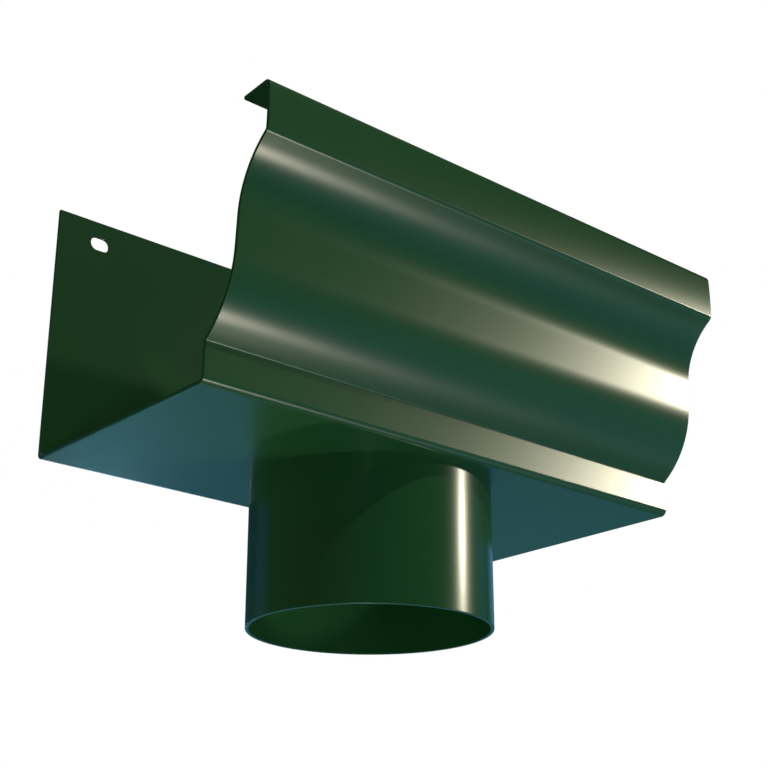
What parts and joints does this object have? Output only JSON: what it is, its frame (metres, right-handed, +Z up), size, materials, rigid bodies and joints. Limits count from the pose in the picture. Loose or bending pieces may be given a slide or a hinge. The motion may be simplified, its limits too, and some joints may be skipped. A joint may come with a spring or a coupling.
{
  "type": "gutter outlet",
  "caption": "Short moulded ogee gutter section folded from sheet, with a round spigot in its base for the downpipe and slotted fixing holes in its back wall.",
  "frame": {"origin": "on the spigot's axis, in the plane of its lower rim", "axes": "+Z up as the gutter hangs, X along the gutter, +Y towards the wall that the back is fixed to"},
  "size_m": [0.25, 0.148, 0.1714],
  "materials": {
    "gutter_sheet": "gloss dark green powder coat",
    "spigot_tube": "gloss dark green powder coat"
  },
  "bodies": {
    "root": {"gutter_body": "gutter_sheet", "outlet_spigot": "spigot_tube"}
  },
  "joints": []
}
